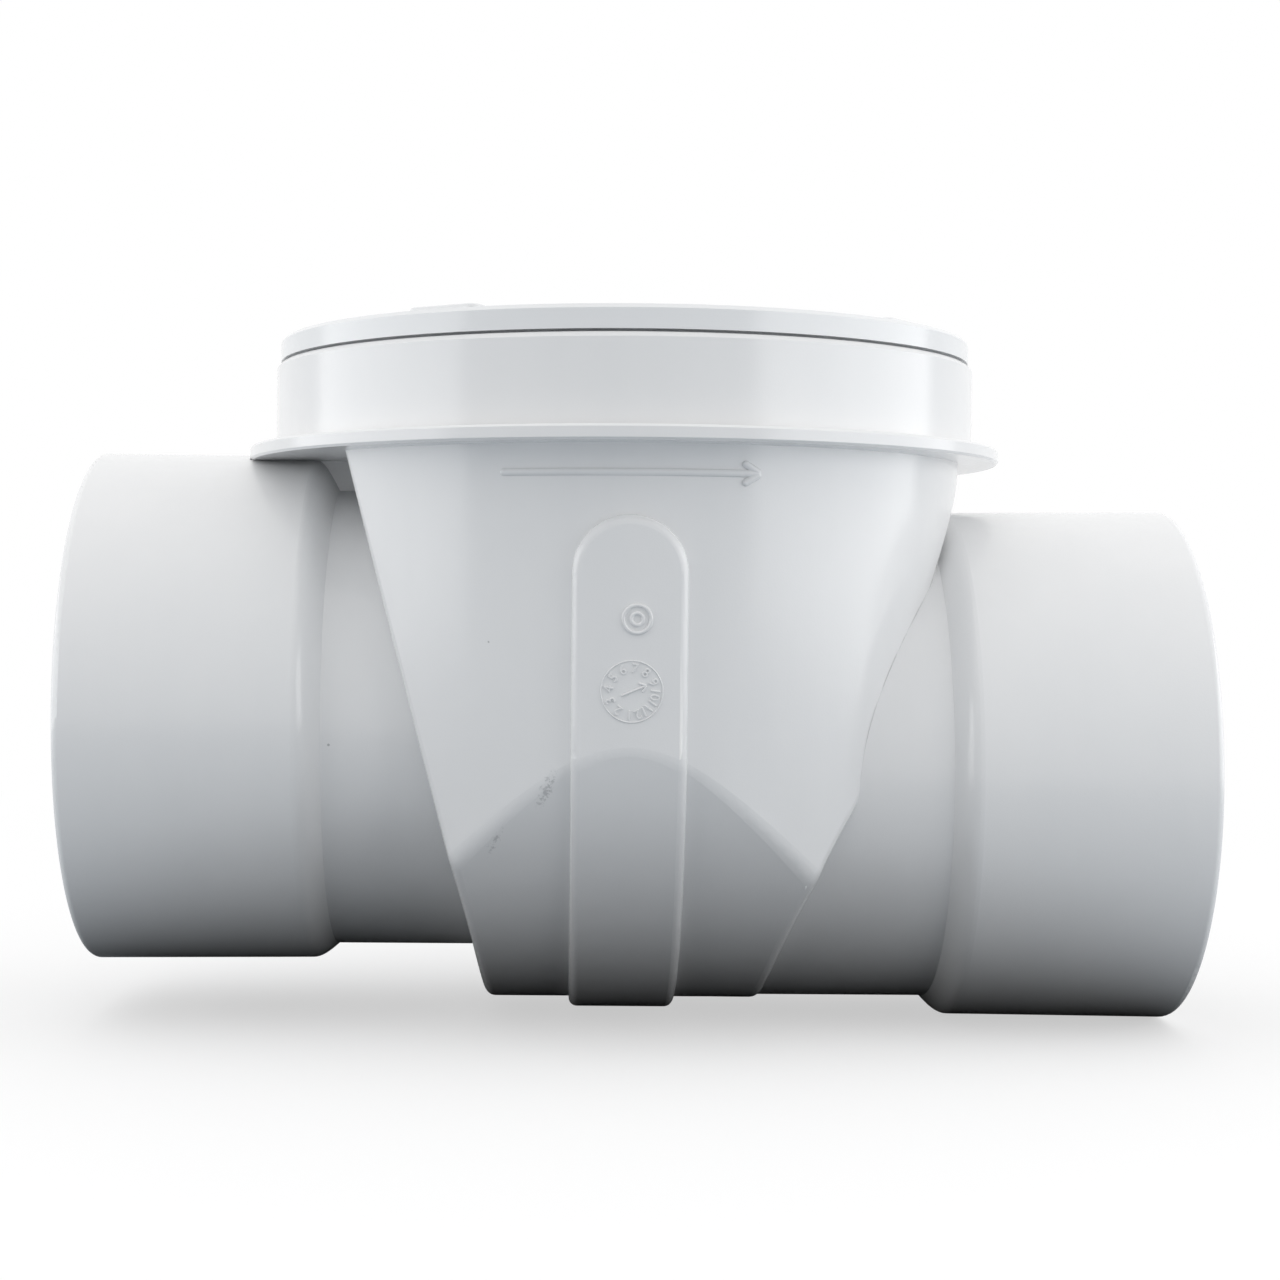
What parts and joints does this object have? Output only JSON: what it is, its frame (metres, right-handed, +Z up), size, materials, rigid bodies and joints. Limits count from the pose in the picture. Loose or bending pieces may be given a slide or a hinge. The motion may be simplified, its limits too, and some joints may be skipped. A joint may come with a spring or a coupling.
{
  "type": "backwater valve",
  "caption": "Drain backwater valve: white plastic body with pipe sockets at each end, an inclined seat, a gravity-closed hinged flap and a screwed access cover.",
  "frame": {"origin": "on the ground plane, below the middle of the overall length, in the middle plane", "axes": "+X along the flow from inlet to outlet, +Z up to the access cover, Y across"},
  "size_m": [0.387, 0.2714, 0.246],
  "materials": {
    "pvc_body": "satin moulded",
    "pvc_cover": "satin moulded",
    "pvc_inner": "satin moulded",
    "epdm": "matte rubber",
    "stainless": "bright steel",
    "brass": "turned",
    "acetal": "smooth"
  },
  "bodies": {
    "valve_body": {"valve_chamber": "pvc_body", "inlet_hub": "pvc_body", "outlet_hub": "pvc_body", "access_collar": "pvc_body", "seat_ring": "pvc_inner", "hinge_bracket": "pvc_inner", "bracket_inserts": "brass", "bracket_screws": "stainless", "hinge_pin": "stainless", "pin_clips": "stainless"},
    "flap_assembly": {"flap": "pvc_inner", "hinge_bushes": "acetal", "flap_seal": "epdm", "seal_retainer": "pvc_inner", "flap_inserts": "brass", "retainer_screws": "stainless", "retainer_washers": "epdm"},
    "cover_seal": {"cover_o_ring": "epdm"},
    "cover": {"access_cover": "pvc_cover", "cover_skirt": "pvc_cover"}
  },
  "joints": [
    {"name": "flap_swing", "type": "hinge", "parent": "valve_body", "child": "flap_assembly", "pos_m": [-0.07655, 0, 0.20119], "axis": [0, -1, 0], "range_deg": [0, 80]},
    {"name": "cover_lift", "type": "slide", "parent": "valve_body", "child": "cover_seal", "axis": [0, 0, 1], "range_m": [0, 0.026]},
    {"name": "cover_turn", "type": "hinge", "parent": "cover_seal", "child": "cover", "pos_m": [-0.0035, 0, 0.2354], "axis": [0, 0, 1], "range_deg": [0, 1170]}
  ],
  "couplings": [
    {"joint": "cover_lift", "follows": "cover_turn", "m_per_rad": 0.0012732}
  ]
}
